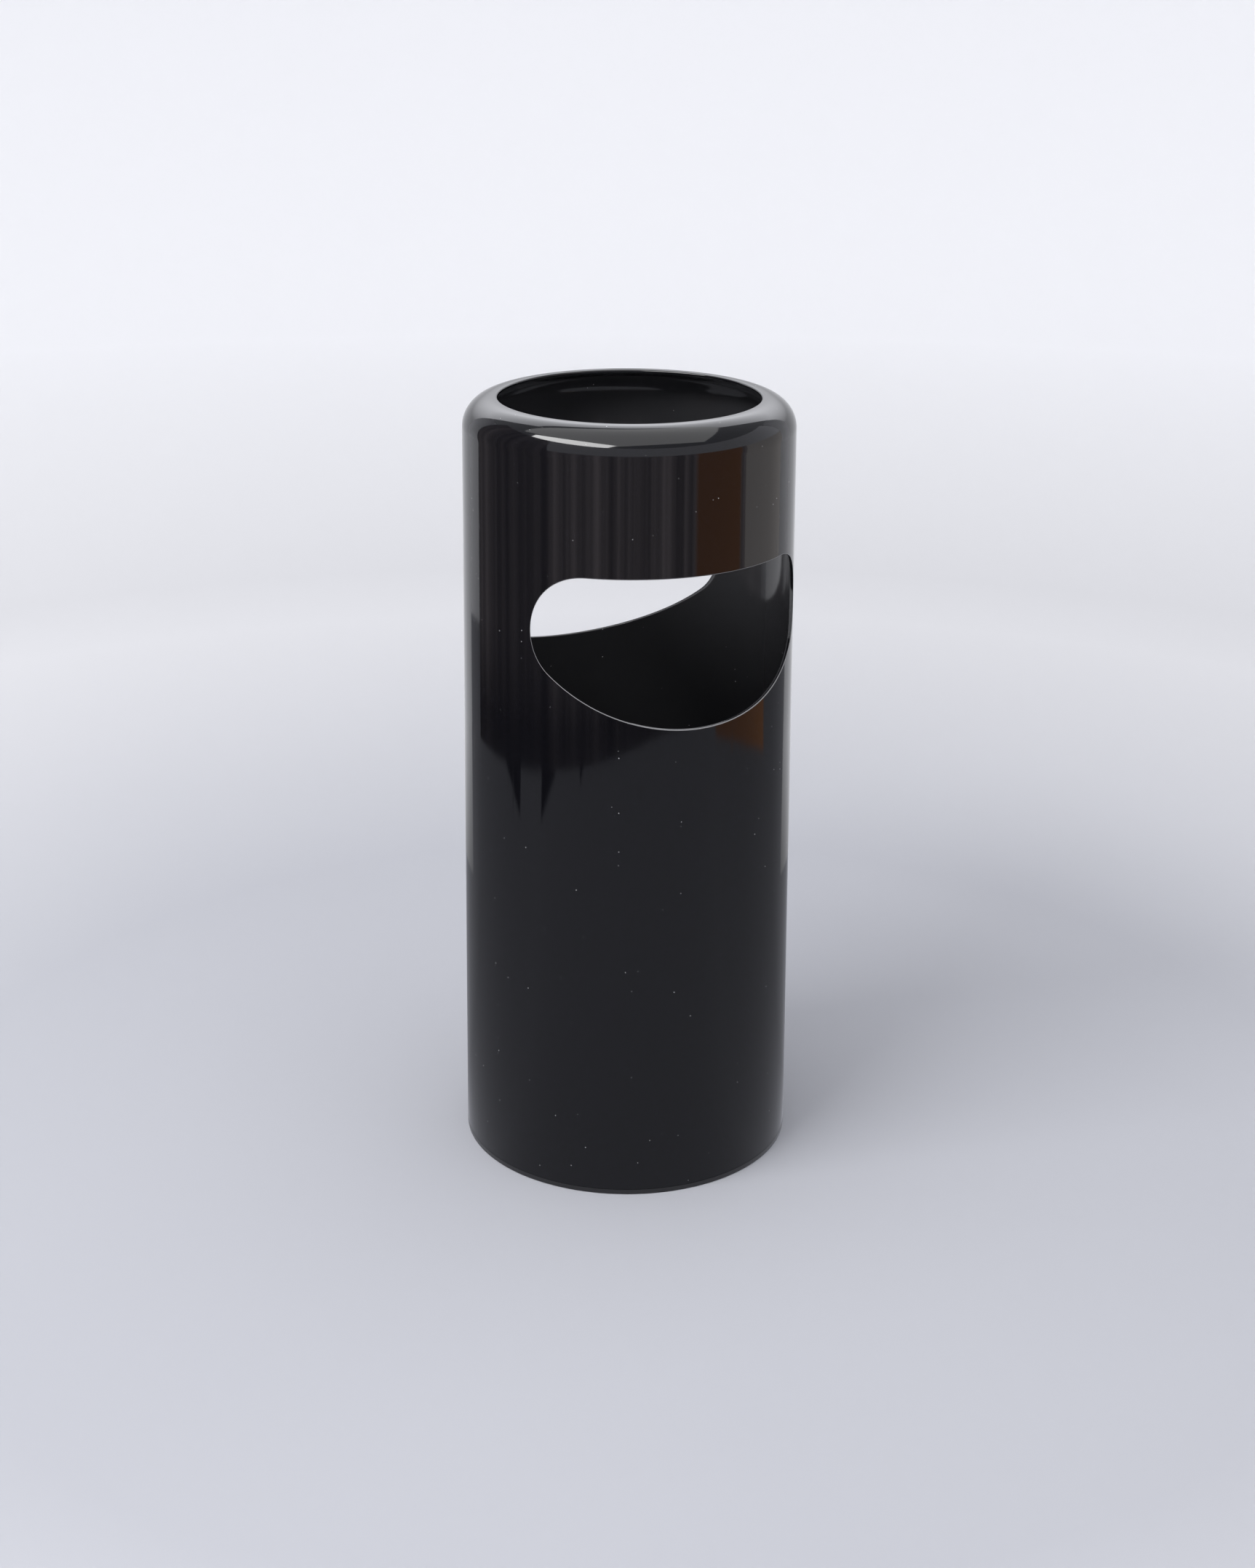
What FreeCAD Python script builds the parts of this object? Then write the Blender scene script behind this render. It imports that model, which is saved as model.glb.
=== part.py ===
import FreeCAD, Part
import math
import os

from FreeCAD import Vector

# Cylindrical umbrella stand, in millimetres. Z points up, the origin is the centre of the circle
# that the feet stand on, and the two hand windows face -Y and +Y.

# Shell
HEIGHT = 500.0
FOOT_RADIUS = 108.5
WALL = 2.5
DRAFT = math.radians(0.605)
RIM_RADIUS = 18.6
MOUTH_RADIUS = 81.4

# Hand windows, measured along the outside of the wall
WINDOW_TOP = 411.45
WINDOW_BOTTOM = 316.45
WINDOW_HALF_WIDTH = 106.7
WINDOW_UPPER_RADIUS = 36.8
WINDOW_LOWER_RADIUS = 32.2
WINDOW_WALL_RADIUS = 104.6
POINTS_PER_ARC = 9
CUTTER_LENGTH = 120.0

# Base
FLANGE_RADIUS = 108.5
FLANGE_BOTTOM = 0.3
FLANGE_THICKNESS = 3.1
FLANGE_INNER_RADIUS = 84.0
SPIGOT_RADIUS = 105.4
SPIGOT_TOP = 27.0
FLOOR_BOTTOM = 20.0
FLOOR_THICKNESS = 2.5
BASE_WALL = 2.4
SNAP_HEIGHT = 14.0
SNAP_HALF_HEIGHT = 1.2
SNAP_DEPTH = 0.9
SNAP_CLEARANCE = 0.3
OUTER_RIB_COUNT = 16
INNER_RIB_COUNT = 8
RIB_THICKNESS = 2.0
HUB_RADIUS = 10.0
TRAY_RING_RADIUS = 74.0
TRAY_RING_THICKNESS = 1.6
TRAY_RING_HEIGHT = 3.0

# Ballast plate and its screws
PLATE_RADIUS = 80.0
PLATE_THICKNESS = 6.0
PLATE_BOTTOM = 6.0
SCREW_COUNT = 4
SCREW_CIRCLE_RADIUS = 55.0
SCREW_RADIUS = 1.6
SCREW_LENGTH = 12.0
SCREW_HEAD_RADIUS = 3.6
SCREW_HEAD_HEIGHT = 2.2
SCREW_POINT_LENGTH = 2.0
RECESS_WIDTH = 0.9
RECESS_LENGTH = 3.6
RECESS_DEPTH = 1.2
PLATE_HOLE_RADIUS = 2.1
BOSS_RADIUS = 4.2

# Drip tray
TRAY_FLOOR_RADIUS = 69.0
TRAY_CORNER_RADIUS = 4.0
TRAY_TOP_RADIUS = 76.0
TRAY_HEIGHT = 20.0
TRAY_WALL = 1.8
TRAY_LIP_WIDTH = 2.6
TRAY_DIMPLE_RADIUS = 18.0
TRAY_DIMPLE_HEIGHT = 2.0

# Rubber feet
PAD_COUNT = 4
PAD_RADIUS = 7.5
PAD_CIRCLE_RADIUS = 96.0
PAD_POCKET_DEPTH = 1.2
PAD_EDGE = 0.4

SHELL_BOTTOM = FLANGE_BOTTOM + FLANGE_THICKNESS
FLOOR_TOP = FLOOR_BOTTOM + FLOOR_THICKNESS
PLATE_TOP = PLATE_BOTTOM + PLATE_THICKNESS
RIM_CENTRE_Z = HEIGHT - RIM_RADIUS
AXIS = Vector(0, 0, 1)
CENTRE = Vector(0, 0, 0)


def outer_radius(z):
    """Outside radius of the tapered wall at height z."""
    return FOOT_RADIUS - z * math.tan(DRAFT)


def inner_radius(z):
    """Inside radius of the tapered wall at height z."""
    return outer_radius(z) - WALL / math.cos(DRAFT)


RIM_CENTRE_RADIUS = outer_radius(RIM_CENTRE_Z) - RIM_RADIUS / math.cos(DRAFT)


def profile_point(radius, z):
    """A point of a turned outline."""
    return Vector(radius, 0, z)


def polar(centre, radius, angle):
    """The point of a turned outline at this angle above the horizontal on a circle."""
    return centre + Vector(radius * math.cos(angle), 0, radius * math.sin(angle))


def line(start, end):
    """A straight edge."""
    return Part.LineSegment(start, end).toShape()


def path(points):
    """Straight edges from point to point."""
    return [line(start, end) for start, end in zip(points, points[1:])]


def arc(centre, radius, start, end):
    """A circular edge of a turned outline, from angle start to angle end."""
    middle = (start + end) / 2
    points = [polar(centre, radius, angle) for angle in (start, middle, end)]
    return Part.Arc(*points).toShape()


def turned(edges):
    """The solid of revolution about Z of a closed outline."""
    return Part.Face(Part.Wire(edges)).revolve(CENTRE, AXIS, 360)


def ring(inner, outer, bottom, top):
    """A plain ring or, with inner 0, a disc."""
    corners = [
        profile_point(inner, bottom),
        profile_point(outer, bottom),
        profile_point(outer, top),
        profile_point(inner, top),
        profile_point(inner, bottom),
    ]
    return turned(path(corners))


def around(shape, count, first_angle=0.0):
    """Equally spaced copies of a shape about Z."""
    copies = []
    for index in range(count):
        copy = shape.copy()
        copy.rotate(CENTRE, AXIS, first_angle + index * 360 / count)
        copies.append(copy)
    return copies


def radial_rib(inner, outer, bottom, top):
    """An upright rib along +X, from one radius to another."""
    corner = Vector(inner, -RIB_THICKNESS / 2, bottom)
    return Part.makeBox(outer - inner, RIB_THICKNESS, top - bottom, corner)


def shell_blank():
    """The wall and the turned-in rim, without windows."""
    centre = profile_point(RIM_CENTRE_RADIUS, RIM_CENTRE_Z)
    top = math.pi / 2
    half = WALL / 2
    lip_centre = profile_point(MOUTH_RADIUS + half, HEIGHT - half)
    foot = profile_point(outer_radius(SHELL_BOTTOM), SHELL_BOTTOM)
    inner_rim = RIM_RADIUS - WALL
    snap_z = (SNAP_HEIGHT + SNAP_HALF_HEIGHT, SNAP_HEIGHT, SNAP_HEIGHT - SNAP_HALF_HEIGHT)
    snap_depth = (0, SNAP_DEPTH, 0)
    inside = [polar(centre, inner_rim, DRAFT)]
    inside += [profile_point(inner_radius(z) - depth, z) for z, depth in zip(snap_z, snap_depth)]
    inside += [profile_point(inner_radius(SHELL_BOTTOM), SHELL_BOTTOM), foot]
    edges = [
        line(foot, polar(centre, RIM_RADIUS, DRAFT)),
        arc(centre, RIM_RADIUS, DRAFT, top),
        line(polar(centre, RIM_RADIUS, top), polar(lip_centre, half, top)),
        arc(lip_centre, half, top, 3 * top),
        line(polar(lip_centre, half, 3 * top), polar(centre, inner_rim, top)),
        arc(centre, inner_rim, top, DRAFT),
    ]
    return turned(edges + path(inside))


def window_arcs():
    """The round stretches of the window's outline on the unrolled wall: centre, radius, angles.

    Each end is two quarter turns that meet halfway up, and the bottom is one large arc that is
    tangent to the lower ones.
    """
    upper_x = WINDOW_HALF_WIDTH - WINDOW_UPPER_RADIUS
    lower_x = WINDOW_HALF_WIDTH - WINDOW_LOWER_RADIUS
    end_z = WINDOW_TOP - WINDOW_UPPER_RADIUS
    drop = end_z - WINDOW_BOTTOM
    lower_drop = drop - WINDOW_LOWER_RADIUS
    bottom_radius = (lower_x ** 2 + drop ** 2 - WINDOW_LOWER_RADIUS ** 2) / (2 * lower_drop)
    bottom_z = WINDOW_BOTTOM + bottom_radius
    turn = math.atan2(lower_x, bottom_z - end_z)
    down = -math.pi / 2
    up = math.pi / 2
    left = math.pi
    return [
        (-upper_x, end_z, WINDOW_UPPER_RADIUS, up, left),
        (-lower_x, end_z, WINDOW_LOWER_RADIUS, left, 2 * math.pi + down - turn),
        (0.0, bottom_z, bottom_radius, down - turn, down + turn),
        (lower_x, end_z, WINDOW_LOWER_RADIUS, down + turn, 0),
        (upper_x, end_z, WINDOW_UPPER_RADIUS, 0, up),
    ]


def window_cutter():
    """The window as seen from the front, run straight out along -Y from the middle."""
    edges = []
    for centre_x, centre_z, radius, start, end in window_arcs():
        points = []
        for index in range(POINTS_PER_ARC):
            angle = start + (end - start) * index / (POINTS_PER_ARC - 1)
            along = centre_x + radius * math.cos(angle)
            x = WINDOW_WALL_RADIUS * math.sin(along / WINDOW_WALL_RADIUS)
            points.append(profile_point(x, centre_z + radius * math.sin(angle)))
        curve = Part.BSplineCurve()
        curve.interpolate(points)
        edges.append(curve.toShape())
    edges.append(line(edges[-1].Vertexes[-1].Point, edges[0].Vertexes[0].Point))
    return Part.Face(Part.Wire(edges)).extrude(Vector(0, -CUTTER_LENGTH, 0))


def make_shell():
    """The outer moulding with both hand windows cut through its wall."""
    return shell_blank().cut(around(window_cutter(), 2))


def screw_places():
    """Where the ballast screws stand."""
    corner = Vector(SCREW_CIRCLE_RADIUS, 0, 0)
    turn = 180 / SCREW_COUNT
    return [point.Point for point in around(Part.Vertex(corner), SCREW_COUNT, turn)]


def base_blank():
    """The turned body of the base: flange, spigot with its snap groove, well wall and floor."""
    groove_half = SNAP_HALF_HEIGHT + SNAP_CLEARANCE
    groove_radius = inner_radius(SNAP_HEIGHT) - SNAP_DEPTH - SNAP_CLEARANCE
    spigot_inner = SPIGOT_RADIUS - BASE_WALL
    well_outer = FLANGE_INNER_RADIUS + BASE_WALL
    corners = [
        profile_point(0, FLOOR_BOTTOM),
        profile_point(FLANGE_INNER_RADIUS, FLOOR_BOTTOM),
        profile_point(FLANGE_INNER_RADIUS, FLANGE_BOTTOM),
        profile_point(FLANGE_RADIUS, FLANGE_BOTTOM),
        profile_point(FLANGE_RADIUS, SHELL_BOTTOM),
        profile_point(SPIGOT_RADIUS, SHELL_BOTTOM),
        profile_point(SPIGOT_RADIUS, SNAP_HEIGHT - groove_half),
        profile_point(groove_radius, SNAP_HEIGHT),
        profile_point(SPIGOT_RADIUS, SNAP_HEIGHT + groove_half),
        profile_point(SPIGOT_RADIUS, SPIGOT_TOP),
        profile_point(spigot_inner, SPIGOT_TOP),
        profile_point(spigot_inner, FLOOR_TOP),
        profile_point(0, FLOOR_TOP),
        profile_point(0, FLOOR_BOTTOM),
    ]
    hollow = ring(well_outer, spigot_inner, SHELL_BOTTOM, FLOOR_BOTTOM)
    return turned(path(corners)).cut(hollow)


def make_base():
    """The floor moulding that snaps into the foot of the shell."""
    ring_outer = TRAY_RING_RADIUS + TRAY_RING_THICKNESS
    well_outer = FLANGE_INNER_RADIUS + BASE_WALL
    spigot_inner = SPIGOT_RADIUS - BASE_WALL
    added = [
        ring(TRAY_RING_RADIUS, ring_outer, FLOOR_TOP, FLOOR_TOP + TRAY_RING_HEIGHT),
        ring(HUB_RADIUS - RIB_THICKNESS, HUB_RADIUS, PLATE_TOP, FLOOR_BOTTOM),
    ]
    overlap = BASE_WALL / 2
    outer_rib = radial_rib(well_outer - overlap, spigot_inner + overlap, SHELL_BOTTOM, FLOOR_BOTTOM)
    inner_rib = radial_rib(HUB_RADIUS - overlap, well_outer - overlap, PLATE_TOP, FLOOR_BOTTOM)
    added += around(outer_rib, OUTER_RIB_COUNT)
    added += around(inner_rib, INNER_RIB_COUNT)
    boss_height = FLOOR_BOTTOM - PLATE_TOP
    removed = []
    for place in screw_places():
        boss_foot = place + Vector(0, 0, PLATE_TOP)
        added.append(Part.makeCylinder(BOSS_RADIUS, boss_height, boss_foot))
        removed.append(Part.makeCylinder(SCREW_RADIUS, boss_height, boss_foot))
    for place in pad_places():
        pocket_foot = place + Vector(0, 0, FLANGE_BOTTOM)
        removed.append(Part.makeCylinder(PAD_RADIUS, PAD_POCKET_DEPTH, pocket_foot))
    base = base_blank().fuse(added)
    return base.cut(removed).removeSplitter()


def make_ballast_plate():
    """The steel disc, with a clearance hole for each screw."""
    plate = ring(0, PLATE_RADIUS, PLATE_BOTTOM, PLATE_TOP)
    holes = [
        Part.makeCylinder(PLATE_HOLE_RADIUS, PLATE_THICKNESS, place + Vector(0, 0, PLATE_BOTTOM))
        for place in screw_places()
    ]
    return plate.cut(holes)


def screw():
    """A pan-head screw on the Z axis, its head's underside at z = 0 and its shank upwards."""
    shank_end = SCREW_LENGTH - SCREW_POINT_LENGTH
    head_edge = SCREW_HEAD_HEIGHT / 3
    corners = [
        profile_point(0, -SCREW_HEAD_HEIGHT),
        profile_point(SCREW_HEAD_RADIUS - head_edge, -SCREW_HEAD_HEIGHT),
        profile_point(SCREW_HEAD_RADIUS, head_edge - SCREW_HEAD_HEIGHT),
        profile_point(SCREW_HEAD_RADIUS, 0),
        profile_point(SCREW_RADIUS, 0),
        profile_point(SCREW_RADIUS, shank_end),
        profile_point(SCREW_RADIUS / 4, SCREW_LENGTH),
        profile_point(0, SCREW_LENGTH),
        profile_point(0, -SCREW_HEAD_HEIGHT),
    ]
    corner = Vector(-RECESS_LENGTH / 2, -RECESS_WIDTH / 2, -SCREW_HEAD_HEIGHT)
    slot = Part.makeBox(RECESS_LENGTH, RECESS_WIDTH, RECESS_DEPTH, corner)
    crossed = slot.copy()
    crossed.rotate(CENTRE, AXIS, 90)
    return turned(path(corners)).cut([slot, crossed])


def make_ballast_screws():
    """The four screws, as separate solids in one group."""
    screws = []
    for place in screw_places():
        placed = screw()
        placed.translate(place + Vector(0, 0, PLATE_BOTTOM))
        screws.append(placed)
    return Part.makeCompound(screws)


def make_drip_tray():
    """A shallow dish with flared walls, an out-turned lip and a raised centre."""
    bottom = FLOOR_TOP
    top = bottom + TRAY_HEIGHT
    inner_floor = bottom + TRAY_WALL
    lip_radius = TRAY_TOP_RADIUS + TRAY_LIP_WIDTH
    flare = TRAY_TOP_RADIUS - TRAY_FLOOR_RADIUS - TRAY_CORNER_RADIUS
    side_angle = math.atan2(flare, TRAY_HEIGHT - TRAY_CORNER_RADIUS)
    corner = profile_point(TRAY_FLOOR_RADIUS, bottom + TRAY_CORNER_RADIUS)
    inner_corner_radius = TRAY_CORNER_RADIUS - TRAY_WALL
    down = -math.pi / 2
    side = -side_angle
    step = TRAY_WALL
    dimple = [
        profile_point(TRAY_DIMPLE_RADIUS, bottom),
        profile_point(TRAY_DIMPLE_RADIUS - step, bottom + TRAY_DIMPLE_HEIGHT),
        profile_point(0, bottom + TRAY_DIMPLE_HEIGHT),
        profile_point(0, inner_floor + TRAY_DIMPLE_HEIGHT),
        profile_point(TRAY_DIMPLE_RADIUS - step, inner_floor + TRAY_DIMPLE_HEIGHT),
        profile_point(TRAY_DIMPLE_RADIUS, inner_floor),
        polar(corner, inner_corner_radius, down),
    ]
    lip = [
        polar(corner, inner_corner_radius, side),
        profile_point(TRAY_TOP_RADIUS - TRAY_WALL, top),
        profile_point(lip_radius, top),
        profile_point(lip_radius, top - TRAY_WALL),
        profile_point(TRAY_TOP_RADIUS, top - TRAY_WALL),
        polar(corner, TRAY_CORNER_RADIUS, side),
    ]
    edges = path(dimple)
    edges.append(arc(corner, inner_corner_radius, down, side))
    edges += path(lip)
    edges.append(arc(corner, TRAY_CORNER_RADIUS, side, down))
    edges.append(line(polar(corner, TRAY_CORNER_RADIUS, down), dimple[0]))
    return turned(edges)


def pad_places():
    """Where the rubber feet stand."""
    corner = Vector(PAD_CIRCLE_RADIUS, 0, 0)
    turn = 180 / PAD_COUNT
    return [point.Point for point in around(Part.Vertex(corner), PAD_COUNT, turn)]


def make_pad(place):
    """One rubber foot: a disc with a bevelled lower edge, seated in its pocket."""
    top = FLANGE_BOTTOM + PAD_POCKET_DEPTH
    corners = [
        profile_point(0, 0),
        profile_point(PAD_RADIUS - PAD_EDGE, 0),
        profile_point(PAD_RADIUS, PAD_EDGE),
        profile_point(PAD_RADIUS, top),
        profile_point(0, top),
        profile_point(0, 0),
    ]
    pad = turned(path(corners))
    pad.translate(place)
    return pad


def make_parts():
    """Every sub-part under its own name."""
    parts = {
        "shell": make_shell(),
        "base": make_base(),
        "drip_tray": make_drip_tray(),
        "ballast_plate": make_ballast_plate(),
        "ballast_screws": make_ballast_screws(),
    }
    for number, place in enumerate(pad_places(), start=1):
        parts[f"foot_{number}"] = make_pad(place)
    return parts


os.makedirs("parts", exist_ok=True)
for name, shape in make_parts().items():
    shape.exportStep(f"parts/{name}.step")
    state = "valid" if shape.isValid() else "NOT VALID"
    print(name, state, len(shape.Solids), "solids", round(shape.Volume), "mm3")
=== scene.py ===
import math

import bmesh
import bpy
import numpy as np
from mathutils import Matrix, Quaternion, Vector


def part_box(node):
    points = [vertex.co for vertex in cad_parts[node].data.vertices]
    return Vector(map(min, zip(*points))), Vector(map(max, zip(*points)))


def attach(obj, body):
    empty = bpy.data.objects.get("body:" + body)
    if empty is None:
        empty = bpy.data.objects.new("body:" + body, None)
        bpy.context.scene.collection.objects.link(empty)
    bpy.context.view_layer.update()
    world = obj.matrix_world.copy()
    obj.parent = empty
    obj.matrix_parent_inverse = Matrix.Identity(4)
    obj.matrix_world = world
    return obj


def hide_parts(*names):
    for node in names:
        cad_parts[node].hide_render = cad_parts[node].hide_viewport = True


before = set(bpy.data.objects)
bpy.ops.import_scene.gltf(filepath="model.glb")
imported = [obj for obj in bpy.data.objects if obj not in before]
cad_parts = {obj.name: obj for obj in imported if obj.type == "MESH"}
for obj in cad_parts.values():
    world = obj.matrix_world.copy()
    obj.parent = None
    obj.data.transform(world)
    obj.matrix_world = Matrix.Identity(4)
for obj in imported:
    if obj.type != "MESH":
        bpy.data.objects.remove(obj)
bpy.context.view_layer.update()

# Shell, in metres, as the CAD model has it
SHELL_LOW, SHELL_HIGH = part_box("shell")
HEIGHT = SHELL_HIGH.z
SHELL_BOTTOM = SHELL_LOW.z
WALL = 0.0025
DRAFT = math.radians(0.605)
FOOT_RADIUS = SHELL_HIGH.x + SHELL_BOTTOM * math.tan(DRAFT)
RIM_RADIUS = 0.0186
RIM_CENTRE_RADIUS = FOOT_RADIUS - (HEIGHT - RIM_RADIUS) * math.tan(DRAFT) - RIM_RADIUS / math.cos(DRAFT)
MOUTH_RADIUS = 0.0814
SNAP_HEIGHT = 0.014
SNAP_HALF_HEIGHT = 0.0012
SNAP_DEPTH = 0.0009
FOOT_EDGE = 0.0004
RIM_STEPS = 28
INNER_RIM_STEPS = 24
LIP_STEPS = 6

# Hand windows, measured along the outside of the wall
WINDOW_TOP = 0.41145
WINDOW_BOTTOM = 0.31645
WINDOW_HALF_WIDTH = 0.1067
WINDOW_UPPER_RADIUS = 0.0368
WINDOW_LOWER_RADIUS = 0.0322
WINDOW_WALL_RADIUS = 0.1046
WINDOW_EDGE = 0.0006

# The band of wall that holds the windows, and how finely the shell is divided
BAND_TOP = 0.432
BAND_BOTTOM = 0.296
COLUMNS_ACROSS = 144
ROWS_BESIDE = 44
BAND_RINGS = 12
EDGE_STEPS = 5
CUT_STEPS = 3
BAND_GRADING = 1.7

# Drip tray
TRAY_FLOOR_CORNER_RADIUS = 0.07226
TRAY_INNER_CORNER_RADIUS = 0.07083
TRAY_TOP_RADIUS = 0.076
TRAY_LIP_RADIUS = 0.0786
TRAY_WALL = 0.0018
TRAY_BEND = 0.004
TRAY_DIMPLE_RADIUS = 0.018
TRAY_DIMPLE_HEIGHT = 0.002
TRAY_EDGE = 0.0005
TRAY_COLUMNS = 160

# Camera
CAMERA_AZIMUTH = math.radians(-24.373)
CAMERA_DISTANCE = 1.4478
CAMERA_HEIGHT = 0.7965
CAMERA_AIM = math.radians(-24.377)
CAMERA_PITCH = math.radians(20.903)
CAMERA_ROLL = math.radians(0.327)
FOCAL_LENGTH = 54.34
SENSOR_WIDTH = 36.0

# Stage: a round floor that curves up into a backdrop
FLOOR_RADIUS = 3.0
COVE_RADIUS = 1.4
COVE_TOP = 3.2
COVE_STEPS = 16
STAGE_COLUMNS = 96

# Lights. A place is (degrees from the camera's side towards its right, distance, height)
SKY_STRENGTH = 0.55
CEILING_PLACE = (0, 0.3, 3.0)
CEILING_SIZE = (3.6, 3.6)
CEILING_POWER = 84
KEY_PLACE = (-50, 1.9, 2.3)
KEY_SIZE = (1.7, 0.6)
KEY_POWER = 62
SOFTBOX_FACE_SIZE = (2.5, 1.0)
SOFTBOX_FACE_STRENGTH = 20.0

# Glowing sheet with a painted reflection of a dim room on the camera's side, which only the gloss
# shows. Azimuths are in degrees, as above
ROOM_RADIUS = 1.0
ROOM_HEIGHT = 1.22
ROOM_LEFT = -116
ROOM_RIGHT = 125
ROOM_OFFSET = 0.12
STRIPE_SCALE = 0.09
BROWN_PANEL_LEFT = 38
BROWN_PANEL_RIGHT = 78
GREY_PANEL_LEFT = 81
LIT_WALL_LEFT = -66
LIT_WALL_BOTTOM = 0.64
CORNER_TOP = 1.3

# Glowing white wall close behind, a painted reflection which only the gloss shows
BACK_WALL_DISTANCE = 0.51
BACK_WALL_HEIGHT = 1.2
BACK_WALL_HALF_WIDTH = 50
BACK_WALL_COLUMNS = 41

# Glowing disc with a painted reflection of the floor, which only the gloss shows, with what stands on
# it nearer than the room's far side: azimuths of its near and its far end, distance of the near end,
# and colour
REFLECTED_FLOOR_RADIUS = 1.3
REFLECTED_FLOOR_HEIGHT = 0.0001
BLACK = (0.0, 0.0, 0.0, 1)
DARK_WOOD = (0.02, 0.02, 0.022, 1)
BROWN_WOOD = (0.74, 0.35, 0.16, 1)
FURNITURE = (
    (-75, -103, 0.74, DARK_WOOD),
    (-58, -40, 0.75, DARK_WOOD),
    (-31, -25, 0.87, DARK_WOOD),
    (104, 60, 0.88, BROWN_WOOD),
)
SOFT_EDGE = 0.02

# Colours of the stage
# The first two floor colours are the floor round the object, darkened as painted shade.
FLOOR_SHADED_DARK = (0.33, 0.335, 0.365, 1)
FLOOR_SHADED_LIGHT = (0.36, 0.365, 0.395, 1)
FLOOR_OUTER = (0.54, 0.54, 0.56, 1)
BACKDROP = (0.90, 0.90, 0.92, 1)
SKY = (0.93, 0.95, 1.0, 1)
# The next six colours are glows on sheets that only the gloss shows: painted reflections of the room,
# the wall behind and the floor.
LIT_WALL = (1.15, 1.16, 1.25, 1)
BACK_WALL = (0.94, 0.95, 1.0, 1)
STRIPE = (1.35, 1.20, 1.26, 1)
GREY_NEAR_BROWN = (1.35, 1.27, 1.24, 1)
GREY_AT_RIGHT = (0.95, 0.90, 0.88, 1)
REFLECTED_FLOOR = (0.55, 0.56, 0.62, 1)

# Gloss black plastic: how many of its marks there are to a metre, how deep they are, and colours
WAVES = 38.0
WAVE_DEPTH = 0.00003
PEEL = 420.0
PEEL_DEPTH = 0.0000015
SCRATCHES = 620.0
SCRATCH_PATCHES = 14.0
SCRATCH_DEPTH = 0.000004
SCRATCH_TURNS = (0.5, 1.7, 2.6)
DUST_CELLS = 270.0
CLEAN_SHARE = 0.82
DUST_SIZE = 0.09
ABS_IOR = 1.38
ABS_BLACK = (0.0028, 0.0028, 0.0040, 1)
# The next colour is painted light: the inside of the moulding drawn lighter than the outside.
ABS_INSIDE_PAINTED_LIGHT = (0.024, 0.024, 0.026, 1)
# The next colour is a painted highlight along the rounded edges of the hand windows.
ABS_EDGE_PAINTED_HIGHLIGHT = (0.16, 0.16, 0.165, 1)
DUST = (0.42, 0.42, 0.43, 1)

WELD_DISTANCE = 1e-6


def unit(vectors):
    """These vectors scaled to length one."""
    return vectors / np.linalg.norm(vectors, axis=-1, keepdims=True)


def all_round(columns):
    """Azimuths in radians, evenly spaced all the way round."""
    return 2 * math.pi * np.arange(columns) / columns


def outer_radius(z):
    """Outside radius of the tapered wall at height z."""
    return FOOT_RADIUS - z * math.tan(DRAFT)


def inner_radius(z):
    """Inside radius of the tapered wall at height z."""
    return outer_radius(z) - WALL / math.cos(DRAFT)


def rounded_profile(corners):
    """Points and outward normals along a turned outline, each corner rounded.

    A corner is (radius from the axis, height, rounding radius, steps). The outline runs up the
    outside and down the inside, and its two end corners aren't rounded.
    """
    spots = [np.array(corner[:2]) for corner in corners]
    points = []
    normals = []
    for index, (spot, corner) in enumerate(zip(spots, corners)):
        before = unit(spot - spots[index - 1]) if index else None
        after = unit(spots[index + 1] - spot) if index + 1 < len(spots) else None
        if before is None or after is None:
            along = after if before is None else before
            points.append(spot)
            normals.append((along[1], -along[0]))
            continue
        rounding, steps = corner[2:]
        turn = math.atan2(before[0] * after[1] - before[1] * after[0], before @ after)
        start = np.array((before[1], -before[0]))
        side = math.copysign(1, turn)
        centre = spot - before * rounding * abs(math.tan(turn / 2)) - start * rounding * side
        for step in range(steps + 1):
            angle = turn * step / steps
            normal = np.array((
                start[0] * math.cos(angle) - start[1] * math.sin(angle),
                start[0] * math.sin(angle) + start[1] * math.cos(angle),
            ))
            points.append(centre + normal * rounding * side)
            normals.append(normal)
    return np.array(points), np.array(normals)


def turned_grid(profile, azimuths):
    """The profile swept round Z: points and normals, one row per profile point."""
    points, normals = profile
    around = np.stack((np.sin(azimuths), -np.cos(azimuths)))

    def swept(values):
        flat = values[:, 0, None, None] * around[None]
        height = np.broadcast_to(values[:, 1, None], (len(values), len(azimuths)))
        return np.stack((flat[:, 0], flat[:, 1], height), axis=-1)

    return swept(points), swept(normals)


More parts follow.
